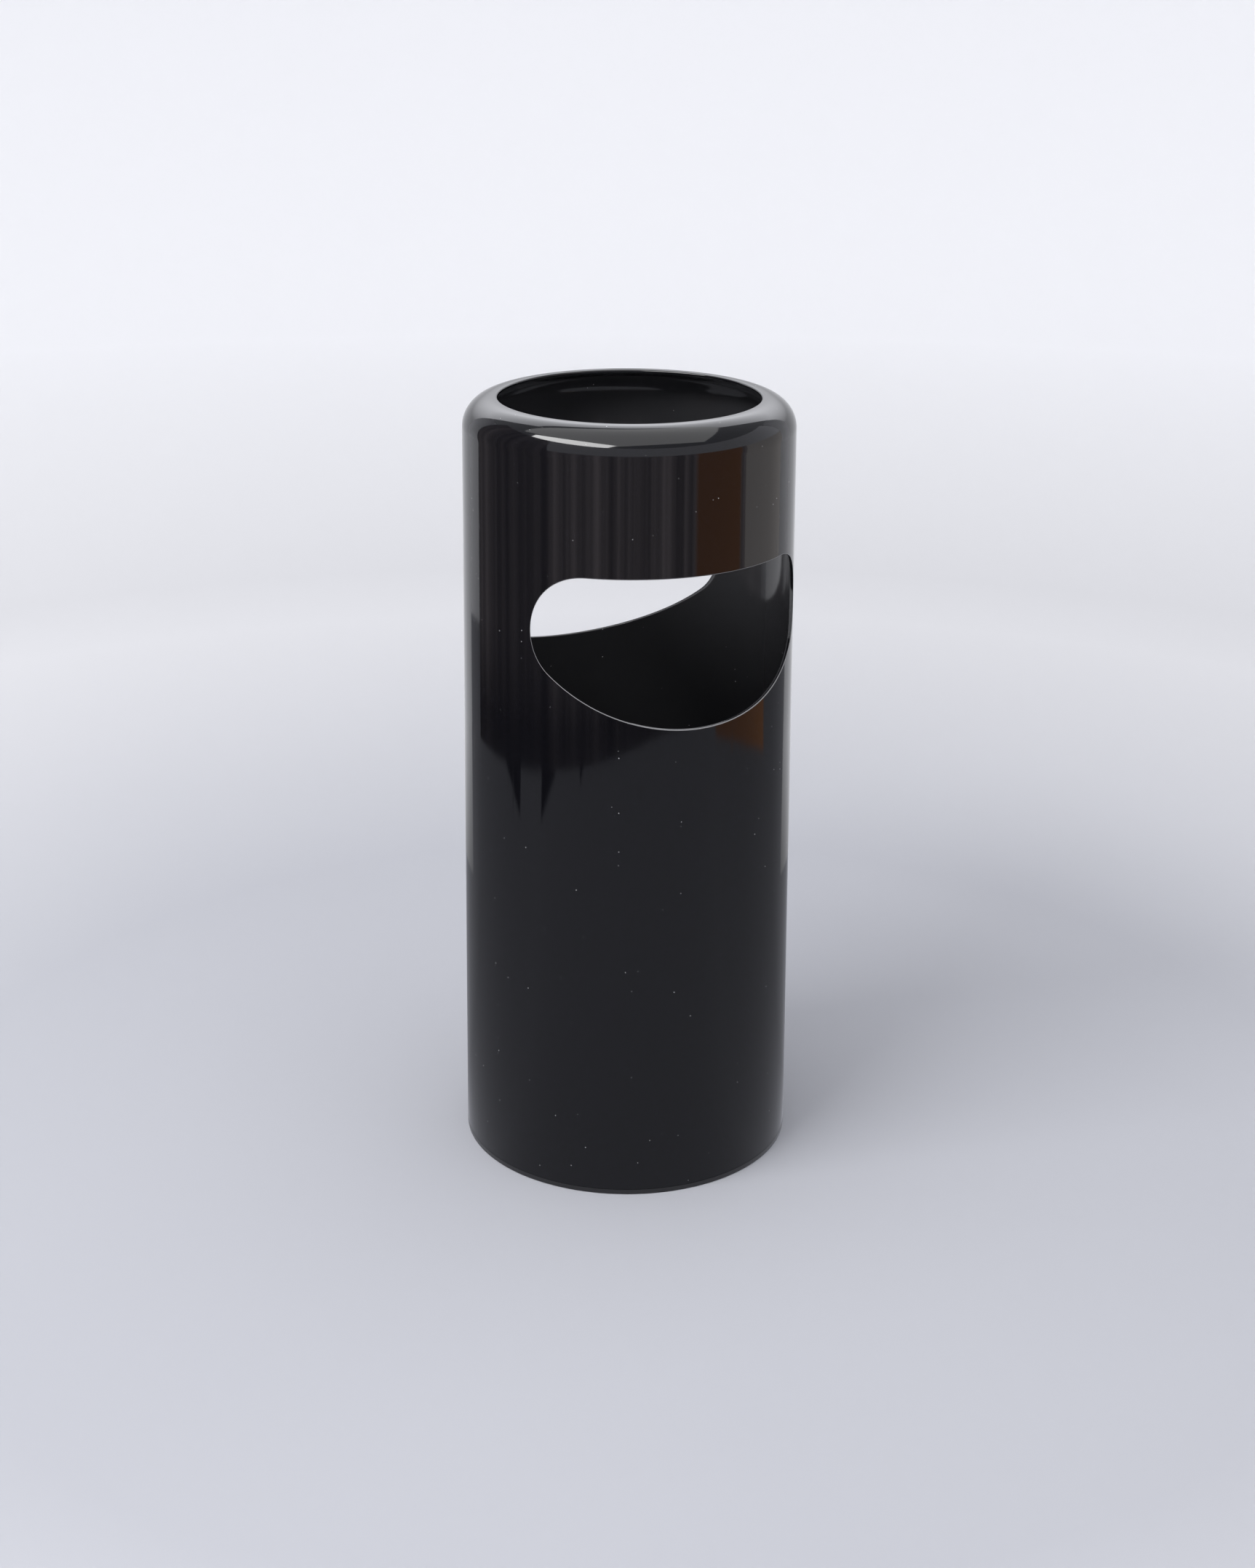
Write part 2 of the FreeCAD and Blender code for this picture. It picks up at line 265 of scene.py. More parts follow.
class Patchwork:
    """Grids of points that are welded into one mesh with exact normals."""

    def __init__(self):
        self.points = []
        self.normals = []
        self.wear_and_highlight = []
        self.faces = []
        self.count = 0

    def add(self, points, normals, wear_and_highlight=0.0, flip=False):
        """Adds a grid of rows by columns that closes round. The painted edge highlight is one number or
        one per row.
        """
        rows, columns = points.shape[:2]
        index = self.count + np.arange(rows * columns).reshape(rows, columns)
        index = np.concatenate((index, index[:, :1]), axis=1)
        quads = np.stack((index[:-1, :-1], index[:-1, 1:], index[1:, 1:], index[1:, :-1]), axis=-1)
        quads = quads.reshape(-1, 4)
        self.faces.append(quads[:, ::-1] if flip else quads)
        self.points.append(points.reshape(-1, 3))
        self.normals.append(normals.reshape(-1, 3))
        self.wear_and_highlight.append(np.repeat(np.broadcast_to(wear_and_highlight, rows), columns))
        self.count += rows * columns

    def build(self, name, material):
        """The mesh object."""
        points = np.concatenate(self.points)
        mesh = bpy.data.meshes.new(name)
        mesh.from_pydata(points.tolist(), [], np.concatenate(self.faces).tolist())
        exact = mesh.attributes.new("exact_normal", "FLOAT_VECTOR", "POINT")
        exact.data.foreach_set("vector", np.concatenate(self.normals).astype(np.float32).ravel())
        # Share of painted highlight at each point, along the rounded window edges.
        painted_highlight = mesh.attributes.new("painted_edge_highlight", "FLOAT", "POINT")
        painted_highlight.data.foreach_set("value", np.concatenate(self.wear_and_highlight).astype(np.float32))
        welded = bmesh.new()
        welded.from_mesh(mesh)
        bmesh.ops.remove_doubles(welded, verts=welded.verts, dist=WELD_DISTANCE)
        welded.to_mesh(mesh)
        welded.free()
        mesh.polygons.foreach_set("use_smooth", [True] * len(mesh.polygons))
        kept = np.empty(len(mesh.vertices) * 3, np.float32)
        mesh.attributes["exact_normal"].data.foreach_get("vector", kept)
        mesh.attributes.remove(mesh.attributes["exact_normal"])
        mesh.normals_split_custom_set_from_vertices(kept.reshape(-1, 3).tolist())
        mesh.materials.append(material)
        piece = bpy.data.objects.new(name, mesh)
        bpy.context.scene.collection.objects.link(piece)
        return piece


def window_runs():
    """The window's outline on the unrolled wall as four runs of straight and round stretches.

    Seen from outside they go along the top to the right, down the right end, back along the
    bottom, and up the left end. A stretch is (length, function of its share t giving point, normal).
    """
    upper_x = WINDOW_HALF_WIDTH - WINDOW_UPPER_RADIUS
    lower_x = WINDOW_HALF_WIDTH - WINDOW_LOWER_RADIUS
    end_z = WINDOW_TOP - WINDOW_UPPER_RADIUS
    drop = end_z - WINDOW_BOTTOM
    lower_drop = drop - WINDOW_LOWER_RADIUS
    bottom_radius = (lower_x ** 2 + drop ** 2 - WINDOW_LOWER_RADIUS ** 2) / (2 * lower_drop)
    turn = math.degrees(math.atan2(lower_x, WINDOW_BOTTOM + bottom_radius - end_z))

    def round_stretch(centre_x, centre_z, radius, start, end):
        def at(share):
            angle = math.radians(start + (end - start) * share)
            normal = np.array((math.cos(angle), math.sin(angle)))
            return np.array((centre_x, centre_z)) + radius * normal, normal
        return radius * math.radians(abs(end - start)), at

    def upper(side, start, end):
        return round_stretch(side * upper_x, end_z, WINDOW_UPPER_RADIUS, start, end)

    def lower(side, start, end):
        return round_stretch(side * lower_x, end_z, WINDOW_LOWER_RADIUS, start, end)

    def top_stretch(share):
        return np.array((upper_x * (2 * share - 1), WINDOW_TOP)), np.array((0.0, 1.0))

    bottom_z = WINDOW_BOTTOM + bottom_radius
    bottom_stretch = round_stretch(0.0, bottom_z, bottom_radius, turn - 90, -turn - 90)
    return (
        [upper(-1, 135, 90), (2 * upper_x, top_stretch), upper(1, 90, 45)],
        [upper(1, 45, 0), lower(1, 0, -45)],
        [lower(1, -45, turn - 90), bottom_stretch, lower(-1, 270 - turn, 225)],
        [lower(-1, 225, 180), upper(-1, 180, 135)],
    )


def evenly_along(stretches, count):
    """count evenly spaced points and normals along a run, without its last point."""
    lengths = np.array([length for length, _ in stretches])
    ends = np.cumsum(lengths)
    points = []
    normals = []
    for distance in np.arange(count) * ends[-1] / count:
        index = int(np.searchsorted(ends, distance, side="right"))
        length, at = stretches[index]
        point, normal = at((distance - ends[index] + length) / length)
        points.append(point)
        normals.append(normal)
    return np.array(points), np.array(normals)


def cut_through(outline, radius):
    """Where the window's outline, run straight back along Y, meets a wall of the given radius."""
    across = WINDOW_WALL_RADIUS * np.sin(outline[:, 0] / WINDOW_WALL_RADIUS)
    return np.stack((across, -np.sqrt(radius ** 2 - across ** 2), outline[:, 1]), axis=-1)


def wall_grid(azimuths, heights, radius, side):
    """Points and normals on the outside (side 1) or the inside (side -1) of the wall."""
    radii = radius(heights)
    points = np.stack((radii * np.sin(azimuths), -radii * np.cos(azimuths), heights), axis=-1)
    normals = np.stack((
        side * math.cos(DRAFT) * np.sin(azimuths),
        -side * math.cos(DRAFT) * np.cos(azimuths),
        np.full_like(azimuths, side * math.sin(DRAFT)),
    ), axis=-1)
    return points, normals


def rounded_edge(edge, on_wall, through):
    """A rounded window edge from the wall into the cut: points, and tangents along the rounding."""
    turns = np.linspace(0, math.pi / 2, EDGE_STEPS + 1)[:, None, None]
    away = on_wall - edge
    points = edge + away * (1 - np.sin(turns)) + through * (1 - np.cos(turns))
    tangents = through * np.sin(turns) - away * np.cos(turns)
    return points, tangents


def window_patch():
    """Half of the band of wall with its window, from the outside through the cut to the inside."""
    counts = (COLUMNS_ACROSS, ROWS_BESIDE, COLUMNS_ACROSS, ROWS_BESIDE)
    sampled = [evenly_along(run, count) for run, count in zip(window_runs(), counts)]
    outline = np.concatenate([points for points, _ in sampled])
    grown = outline + WINDOW_EDGE * np.concatenate([normals for _, normals in sampled])
    quarter = math.pi / 2
    across = np.arange(COLUMNS_ACROSS) / COLUMNS_ACROSS
    beside = np.arange(ROWS_BESIDE) / ROWS_BESIDE
    frame_azimuths = np.concatenate((
        -quarter + math.pi * across,
        np.full(ROWS_BESIDE, quarter),
        quarter - math.pi * across,
        np.full(ROWS_BESIDE, -quarter),
    ))
    drop = BAND_TOP - BAND_BOTTOM
    frame_heights = np.concatenate((
        np.full(COLUMNS_ACROSS, BAND_TOP),
        BAND_TOP - drop * beside,
        np.full(COLUMNS_ACROSS, BAND_BOTTOM),
        BAND_BOTTOM + drop * beside,
    ))

    def sheet(radius, side):
        """The wall between the window's rounded edge and the straight frame round it, edge first."""
        edge = cut_through(grown, radius(grown[:, 1]))
        azimuths = np.arctan2(edge[:, 0], -edge[:, 1])
        share = (np.linspace(0, 1, BAND_RINGS + 1) ** BAND_GRADING)[:, None]
        return wall_grid(
            azimuths + (frame_azimuths - azimuths) * share,
            grown[:, 1] + (frame_heights - grown[:, 1]) * share,
            radius, side,
        )

    outside, outside_normals = sheet(outer_radius, 1)
    inside, inside_normals = sheet(inner_radius, -1)
    outer_edge = cut_through(outline, outer_radius(outline[:, 1]))
    inner_edge = cut_through(outline, inner_radius(outline[:, 1]))
    inwards = WINDOW_EDGE * unit(inner_edge - outer_edge)
    entry, entry_tangents = rounded_edge(outer_edge, outside[0], inwards)
    leave, leave_tangents = rounded_edge(inner_edge, inside[0], -inwards)
    share = np.linspace(0, 1, CUT_STEPS + 1)[1:-1, None, None]
    cut = entry[-1] + (leave[-1] - entry[-1]) * share
    cut_tangents = np.broadcast_to(inwards, cut.shape)
    points = np.concatenate((entry, cut, leave[::-1]))
    tangents = np.concatenate((entry_tangents, cut_tangents, -leave_tangents[::-1]))
    along = np.roll(points, -1, axis=1) - np.roll(points, 1, axis=1)
    normals = unit(np.cross(tangents, along))
    normals[0] = outside_normals[0]
    normals[-1] = inside_normals[0]
    points = np.concatenate((outside[:0:-1], points, inside[1:]))
    normals = np.concatenate((outside_normals[:0:-1], normals, inside_normals[1:]))
    # Painted highlight: the rows of the rounded outer window edge are marked 1, and the material
    # colours them lighter grey.
    wear_and_highlight = np.zeros(len(points))
    wear_and_highlight[BAND_RINGS + 1:BAND_RINGS + EDGE_STEPS] = 1.0
    return points, normals, wear_and_highlight


def make_shell(material):
    """The outer moulding: foot, band with the two windows, and turned-in rim."""
    columns = 2 * COLUMNS_ACROSS
    azimuths = all_round(columns) - math.pi / 2
    bead_top = SNAP_HEIGHT + SNAP_HALF_HEIGHT
    bead_bottom = SNAP_HEIGHT - SNAP_HALF_HEIGHT
    foot = [
        (inner_radius(BAND_BOTTOM), BAND_BOTTOM),
        (inner_radius(bead_top), bead_top, FOOT_EDGE, 2),
        (inner_radius(SNAP_HEIGHT) - SNAP_DEPTH, SNAP_HEIGHT, FOOT_EDGE, 2),
        (inner_radius(bead_bottom), bead_bottom, FOOT_EDGE, 2),
        (inner_radius(SHELL_BOTTOM), SHELL_BOTTOM, FOOT_EDGE, 3),
        (outer_radius(SHELL_BOTTOM), SHELL_BOTTOM, FOOT_EDGE, 3),
        (outer_radius(BAND_BOTTOM), BAND_BOTTOM),
    ]
    rim = [
        (outer_radius(BAND_TOP), BAND_TOP),
        (outer_radius(HEIGHT), HEIGHT, RIM_RADIUS, RIM_STEPS),
        (MOUTH_RADIUS, HEIGHT, WALL / 2, LIP_STEPS),
        (MOUTH_RADIUS, HEIGHT - WALL, WALL / 2, LIP_STEPS),
        (inner_radius(HEIGHT - WALL), HEIGHT - WALL, RIM_RADIUS - WALL, INNER_RIM_STEPS),
        (inner_radius(BAND_TOP), BAND_TOP),
    ]
    shell = Patchwork()
    shell.add(*turned_grid(rounded_profile(foot), azimuths))
    shell.add(*turned_grid(rounded_profile(rim), azimuths))
    points, normals, wear_and_highlight = window_patch()
    half_turn = np.array((-1, -1, 1))
    shell.add(points, normals, wear_and_highlight, flip=True)
    shell.add(points * half_turn, normals * half_turn, wear_and_highlight, flip=True)
    return shell.build("moulded_shell", material)


def make_tray(material):
    """The drip tray: a shallow dish with flared walls, an out-turned lip and a raised centre."""
    low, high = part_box("drip_tray")
    bottom = low.z
    top = high.z
    floor = bottom + TRAY_WALL
    dimple_edge = TRAY_DIMPLE_RADIUS - TRAY_WALL
    outline = [
        (0.0, bottom + TRAY_DIMPLE_HEIGHT),
        (dimple_edge, bottom + TRAY_DIMPLE_HEIGHT, TRAY_EDGE, 3),
        (TRAY_DIMPLE_RADIUS, bottom, TRAY_EDGE, 3),
        (TRAY_FLOOR_CORNER_RADIUS, bottom, TRAY_BEND, 8),
        (TRAY_TOP_RADIUS, top - TRAY_WALL, TRAY_EDGE, 3),
        (TRAY_LIP_RADIUS, top - TRAY_WALL, TRAY_EDGE, 4),
        (TRAY_LIP_RADIUS, top, TRAY_EDGE, 4),
        (TRAY_TOP_RADIUS - TRAY_WALL, top, TRAY_EDGE, 4),
        (TRAY_INNER_CORNER_RADIUS, floor, TRAY_BEND - TRAY_WALL, 6),
        (TRAY_DIMPLE_RADIUS, floor, TRAY_EDGE, 3),
        (dimple_edge, floor + TRAY_DIMPLE_HEIGHT, TRAY_EDGE, 3),
        (0.0, floor + TRAY_DIMPLE_HEIGHT),
    ]
    tray = Patchwork()
    tray.add(*turned_grid(rounded_profile(outline), all_round(TRAY_COLUMNS)))
    return tray.build("dished_tray", material)


class Nodes:
    """A material and short ways to add nodes to it."""

    def __init__(self, name):
        self.material = bpy.data.materials.new(name)
        self.material.use_nodes = True
        self.tree = self.material.node_tree
        self.shader = self.tree.nodes["Principled BSDF"]

    def add(self, kind, inputs=None, **settings):
        """A node with these settings and inputs. An input is a value or another node's output."""
        node = self.tree.nodes.new(kind)
        for key, value in settings.items():
            setattr(node, key, value)
        for key, value in (inputs or {}).items():
            self.set(node, key, value)
        return node

    def set(self, node, key, value):
        """Sets one input to a value, or links another node's output to it."""
        if isinstance(value, bpy.types.NodeSocket):
            self.tree.links.new(value, node.inputs[key])
        else:
            node.inputs[key].default_value = value

    def place(self, scale=(1, 1, 1), rotation=(0, 0, 0)):
        """Positions on the object in metres, scaled and turned."""
        where = self.add("ShaderNodeTexCoord").outputs["Object"]
        inputs = {"Vector": where, "Scale": scale, "Rotation": rotation}
        return self.add("ShaderNodeMapping", inputs).outputs["Vector"]

    def split(self, vector):
        """The X, Y and Z of a vector."""
        return self.add("ShaderNodeSeparateXYZ", {"Vector": vector}).outputs

    def length(self, vector):
        """The length of a vector."""
        return self.add("ShaderNodeVectorMath", {0: vector}, operation="LENGTH").outputs["Value"]

    def noise(self, vector, scale, detail=2.0, roughness=0.5):
        """Fractal noise."""
        inputs = {"Vector": vector, "Scale": scale, "Detail": detail, "Roughness": roughness}
        return self.add("ShaderNodeTexNoise", inputs).outputs["Fac"]

    def ramp(self, value, low, high, first=0.0, last=1.0):
        """value between low and high becomes first to last, and is held outside that range."""
        inputs = {"Value": value, "From Min": low, "From Max": high, "To Min": first, "To Max": last}
        return self.add("ShaderNodeMapRange", inputs).outputs["Result"]

    def math(self, operation, first, second=0.0):
        """One arithmetic step."""
        node = self.add("ShaderNodeMath", operation=operation)
        self.set(node, 0, first)
        self.set(node, 1, second)
        return node.outputs["Value"]

    def mix(self, share, first, second):
        """A blend of two colours."""
        node = self.add("ShaderNodeMix", {"Factor": share}, data_type="RGBA")
        self.set(node, 6, first)
        self.set(node, 7, second)
        return node.outputs[2]

    def bump(self, height, distance, strength=1.0, normal=None):
        """A bump of this height in metres."""
        inputs = {"Height": height, "Distance": distance, "Strength": strength}
        if normal is not None:
            inputs["Normal"] = normal
        return self.add("ShaderNodeBump", inputs).outputs["Normal"]


def inner_wall(nodes, where):
    """1 on the inside of the wall and under the rim, and 0 on the outside."""
    parts = nodes.split(where)
    flat = nodes.add("ShaderNodeCombineXYZ", {"X": parts["X"], "Y": parts["Y"]}).outputs["Vector"]
    away = nodes.length(flat)
    taper = nodes.math("MULTIPLY", parts["Z"], math.tan(DRAFT))
    wall_depth = nodes.math("SUBTRACT", FOOT_RADIUS, nodes.math("ADD", away, taper))
    rim_x = nodes.math("SUBTRACT", away, RIM_CENTRE_RADIUS)
    rim_z = nodes.math("MAXIMUM", nodes.math("SUBTRACT", parts["Z"], HEIGHT - RIM_RADIUS), 0.0)
    rim_place = nodes.add("ShaderNodeCombineXYZ", {"X": rim_x, "Z": rim_z}).outputs["Vector"]
    rim_depth = nodes.math("SUBTRACT", RIM_RADIUS, nodes.length(rim_place))
    in_rim = nodes.math("GREATER_THAN", rim_z, 0.0)
    below_rim = nodes.math("SUBTRACT", 1.0, in_rim)
    rim_depth = nodes.math("MULTIPLY", rim_depth, in_rim)
    wall_depth = nodes.math("MULTIPLY", wall_depth, below_rim)
    return nodes.ramp(nodes.math("MAXIMUM", rim_depth, wall_depth), 0.4 * WALL, 0.9 * WALL)


def hairline_scratches(nodes):
    """1 along thin scratches that run three ways, in patches, and 0 elsewhere."""
    scratches = 0.0
    for turn in SCRATCH_TURNS:
        streaks = nodes.noise(nodes.place((1, 1, 0.04), (turn, 0.3 * turn, turn)), SCRATCHES, 0.0)
        patches = nodes.noise(nodes.place((1, 1, 1), (turn, 0, 0)), SCRATCH_PATCHES, 1.0)
        line = nodes.math("MULTIPLY", nodes.ramp(streaks, 0.76, 0.80), nodes.ramp(patches, 0.56, 0.66))
        scratches = nodes.math("MAXIMUM", scratches, line)
    return scratches


def dust_specks(nodes, where):
    """1 on specks of dust and 0 elsewhere. Most cells have none, and the rest have one each."""
    cells = nodes.add("ShaderNodeTexVoronoi", {"Vector": where, "Scale": DUST_CELLS})
    chance = nodes.add("ShaderNodeSeparateColor", {"Color": cells.outputs["Color"]}).outputs["Red"]
    size = nodes.ramp(chance, CLEAN_SHARE, 1.0, 0.0, DUST_SIZE)
    return nodes.math("LESS_THAN", cells.outputs["Distance"], size)


def gloss_abs():
    """High-gloss black moulded ABS with faint waviness, hairline scratches, specks of dust, a painted
    highlight along the window edges and painted light on the inside.
    """
    nodes = Nodes("gloss_black_abs")
    shader = nodes.shader
    where = nodes.place()
    scratches = hairline_scratches(nodes)
    dust = dust_specks(nodes, where)
    haze = nodes.ramp(nodes.noise(where, 9.0, 3.0), 0.35, 0.75, 0.045, 0.085)
    inside = inner_wall(nodes, where)
    # Painted light: the inside of the wall and the underside of the rim are coloured lighter than the
    # outside.
    black = nodes.mix(inside, ABS_BLACK, ABS_INSIDE_PAINTED_LIGHT)
    # Painted highlight: the rounded window edges are coloured lighter grey, in place of their gloss.
    painted_highlight = nodes.add("ShaderNodeAttribute", attribute_name="painted_edge_highlight").outputs["Fac"]
    black = nodes.mix(painted_highlight, black, ABS_EDGE_PAINTED_HIGHLIGHT)
    nodes.set(shader, "Base Color", nodes.mix(dust, black, DUST))
    marked = nodes.math("MAXIMUM", dust, nodes.math("MULTIPLY", scratches, 0.35))
    marked = nodes.math("MAXIMUM", marked, nodes.math("MULTIPLY", painted_highlight, 0.4))
    rough_marks = nodes.math("ADD", haze, nodes.math("MULTIPLY", marked, 0.45))
    nodes.set(shader, "Roughness", nodes.math("ADD", rough_marks, nodes.math("MULTIPLY", inside, 0.05)))
    shader.inputs["IOR"].default_value = ABS_IOR
    wavy = nodes.bump(nodes.noise(where, WAVES, 1.0), WAVE_DEPTH)
    rough = nodes.bump(nodes.noise(where, PEEL, 1.0), PEEL_DEPTH, 1.0, wavy)
    nodes.set(shader, "Normal", nodes.bump(scratches, -SCRATCH_DEPTH, 1.0, rough))
    return nodes.material


def moulded_plastic(name, colour, roughness):
    """Fine-textured moulded plastic."""
    nodes = Nodes(name)
    where = nodes.place()
    grain = nodes.noise(where, 1800.0, 2.0)
    cloud = nodes.noise(where, 25.0, 3.0)
    dark = tuple(0.8 * part for part in colour)
    nodes.set(nodes.shader, "Base Color", nodes.mix(cloud, (*dark, 1), (*colour, 1)))
    mottled = nodes.ramp(cloud, 0.3, 0.7, roughness - 0.05, roughness + 0.05)
    nodes.set(nodes.shader, "Roughness", mottled)
    nodes.set(nodes.shader, "Normal", nodes.bump(grain, 0.00004, 0.5))
    return nodes.material


def plated_steel(name, colour, roughness):
    """Rolled or turned zinc-plated steel with a fine grain and a mottled bloom."""
    nodes = Nodes(name)
    grain = nodes.noise(nodes.place((1, 40, 1)), 60.0, 3.0)
    bloom = nodes.noise(nodes.place(), 90.0, 4.0)
    dull = tuple(0.72 * part for part in colour)
    nodes.set(nodes.shader, "Base Color", nodes.mix(bloom, (*dull, 1), (*colour, 1)))
    mottled = nodes.ramp(bloom, 0.3, 0.7, roughness - 0.06, roughness + 0.1)
    nodes.set(nodes.shader, "Roughness", mottled)
    nodes.set(nodes.shader, "Normal", nodes.bump(grain, 0.00002, 0.4))
    nodes.shader.inputs["Metallic"].default_value = 1.0
    return nodes.material


def rubber():
    """Matte black rubber."""
    nodes = Nodes("black_rubber")
    where = nodes.place()
    grain = nodes.noise(where, 2600.0, 2.0)
    wear_and_highlight = nodes.noise(where, 160.0, 3.0)
    black = nodes.mix(wear_and_highlight, (0.018, 0.018, 0.018, 1), (0.035, 0.034, 0.033, 1))
    nodes.set(nodes.shader, "Base Color", black)
    nodes.set(nodes.shader, "Roughness", nodes.ramp(wear_and_highlight, 0.3, 0.7, 0.72, 0.9))
    nodes.set(nodes.shader, "Normal", nodes.bump(grain, 0.00005, 0.6))
    return nodes.material


def finish_node(name, material):
    """Gives a CAD node its material."""
    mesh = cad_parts[name].data
    mesh.materials.clear()
    mesh.materials.append(material)


def floor_material():
    """Pale grey floor, darker round the object as painted shade, that turns whiter up the backdrop."""
    nodes = Nodes("pale_floor")
    where = nodes.place()
    cloud = nodes.noise(where, 1.5, 2.0)
    shaded_middle = nodes.mix(cloud, FLOOR_SHADED_DARK, FLOOR_SHADED_LIGHT)
    away = nodes.length(where)
    outer = nodes.mix(nodes.ramp(away, 1.4, FLOOR_RADIUS), FLOOR_OUTER, BACKDROP)
    # Painted shade: within half a metre of the object the floor is darkest, and it lightens out to 1.2
    # m.
    nodes.set(nodes.shader, "Base Color", nodes.mix(nodes.ramp(away, 0.5, 1.2), shaded_middle, outer))
    nodes.shader.inputs["Roughness"].default_value = 0.9
    nodes.shader.inputs["Specular IOR Level"].default_value = 0.0
    return nodes.material


def turned_object(name, profile, azimuths, material, closed):
    """An open surface of the stage, turned about Z."""
    points, _ = turned_grid((profile, profile), azimuths)
    rows, columns = points.shape[:2]
    index = np.arange(rows * columns).reshape(rows, columns)
    if closed:
        index = np.concatenate((index, index[:, :1]), axis=1)
    quads = np.stack((index[:-1, :-1], index[1:, :-1], index[1:, 1:], index[:-1, 1:]), axis=-1)
    mesh = bpy.data.meshes.new(name)
    mesh.from_pydata(points.reshape(-1, 3).tolist(), [], quads.reshape(-1, 4).tolist())
    mesh.polygons.foreach_set("use_smooth", [True] * len(mesh.polygons))
    mesh.materials.append(material)
    surface = bpy.data.objects.new(name, mesh)
    bpy.context.scene.collection.objects.link(surface)
    return surface


def make_floor():
    """A plain pale floor that curves up into a round backdrop."""
    outline = [(0.0, 0.0), (FLOOR_RADIUS, 0.0)]
    for step in range(1, COVE_STEPS + 1):
        angle = math.pi / 2 * step / COVE_STEPS
        away = FLOOR_RADIUS + COVE_RADIUS * math.sin(angle)
        outline.append((away, COVE_RADIUS * (1 - math.cos(angle))))
    outline.append((FLOOR_RADIUS + COVE_RADIUS, COVE_TOP))
    turned_object("floor", np.array(outline), all_round(STAGE_COLUMNS), floor_material(), True)


def reflected_only(surface):
    """Makes a surface show in glossy reflections and nowhere else."""
    surface.visible_camera = False
    surface.visible_diffuse = False
    surface.visible_shadow = False
    surface.visible_transmission = False
    surface.visible_volume_scatter = False


def glow(nodes, colour, strength):
    """Turns a material into plain emission."""
    shader = nodes.add("ShaderNodeEmission")
    nodes.set(shader, "Color", colour)
    nodes.set(shader, "Strength", strength)
    output = nodes.tree.nodes["Material Output"]
    nodes.tree.links.new(shader.outputs["Emission"], output.inputs["Surface"])


def azimuth_of(nodes, parts):
    """Degrees round the stage from the camera's side, towards its right."""
    front = nodes.math("MULTIPLY", parts["Y"], -1.0)
    return nodes.math("MULTIPLY", nodes.math("ARCTAN2", parts["X"], front), math.degrees(1))


def room_stripes(nodes, azimuth, height):
    """How pale the upright stripes are, from 0 to 1. They fade to the left and towards the floor."""
    stripe_place = nodes.add("ShaderNodeCombineXYZ", {"X": azimuth}).outputs["Vector"]
    stripes = nodes.ramp(nodes.noise(stripe_place, STRIPE_SCALE, 4.0, 0.65), 0.40, 0.70, 0.16, 1.0)
    stripes = nodes.math("MULTIPLY", stripes, nodes.ramp(azimuth, -75, -50, 0.35, 1.0))
    return nodes.math("MULTIPLY", stripes, nodes.ramp(height, 0.04, 0.14, 0.2, 1.0))


def room_material():
    """A glowing sheet with the painted reflection of a dim room seen from the object: dark with upright
    stripes, a brown and a grey panel on the right, and a wall with painted light over all of it but the
    left corner.
    """
    nodes = Nodes("dim_room")
    parts = nodes.split(nodes.place())
    azimuth = azimuth_of(nodes, parts)
    dim = nodes.mix(room_stripes(nodes, azimuth, parts["Z"]), BLACK, STRIPE)
    from_left = nodes.ramp(azimuth, BROWN_PANEL_LEFT, BROWN_PANEL_LEFT + 3)
    to_right = nodes.ramp(azimuth, BROWN_PANEL_RIGHT - 2, BROWN_PANEL_RIGHT, 1, 0)
    dim = nodes.mix(nodes.math("MULTIPLY", from_left, to_right), dim, BROWN_WOOD)
    grey = nodes.mix(nodes.ramp(azimuth, 82, 110), GREY_NEAR_BROWN, GREY_AT_RIGHT)
    dim = nodes.mix(nodes.ramp(azimuth, GREY_PANEL_LEFT, GREY_PANEL_LEFT + 1), dim, grey)
    # Painted light: the wall glows as if lit above 0.64 m, except in the left corner.
    top = nodes.ramp(azimuth, LIT_WALL_LEFT, LIT_WALL_LEFT + 8, CORNER_TOP, LIT_WALL_BOTTOM)
    lit = nodes.ramp(nodes.math("SUBTRACT", parts["Z"], top), 0.0, SOFT_EDGE)
    glow(nodes, nodes.mix(lit, dim, LIT_WALL), 1.0)
    return nodes.material


def reflected_floor_material():
    """The floor as the gloss shows it, painted as a glow: painted shade at the sides, with painted
    reflections of the feet of the room's furniture.
    """
    nodes = Nodes("reflected_floor")
    where = nodes.place()
    azimuth = azimuth_of(nodes, nodes.split(where))
    away = nodes.length(where)
    side = nodes.math("ABSOLUTE", azimuth)
    # Painted shade: the floor's glow is halved at the sides, between front and back.
    before = nodes.ramp(side, 60, 115, 1.0, 0.5)
    behind = nodes.ramp(side, 148, 165, 0.0, 0.5)
    colour = nodes.mix(nodes.math("ADD", before, behind), BLACK, REFLECTED_FLOOR)
    # Painted reflections of the furniture's feet, dark or brown, over the floor's glow.
    for near, far, distance, tint in FURNITURE:
        reach = nodes.ramp(azimuth, near, far, distance, ROOM_RADIUS)
        covered = nodes.ramp(nodes.math("SUBTRACT", away, reach), 0.0, SOFT_EDGE)
        from_middle = nodes.math("ABSOLUTE", nodes.math("SUBTRACT", azimuth, (near + far) / 2))
        between = nodes.math("LESS_THAN", from_middle, abs(far - near) / 2)
        colour = nodes.mix(nodes.math("MULTIPLY", covered, between), colour, tint)
    glow(nodes, colour, 1.0)
    return nodes.material


def make_reflected_floor():
    """A disc just over the floor that only the gloss shows."""
    outline = np.array(((SHELL_HIGH.x, 0.0), (REFLECTED_FLOOR_RADIUS, 0.0)))
    material = reflected_floor_material()
    disc = turned_object("reflected_floor", outline, all_round(STAGE_COLUMNS), material, True)
    disc.location.z = REFLECTED_FLOOR_HEIGHT
    disc.rotation_euler.z = CAMERA_AZIMUTH
    reflected_only(disc)


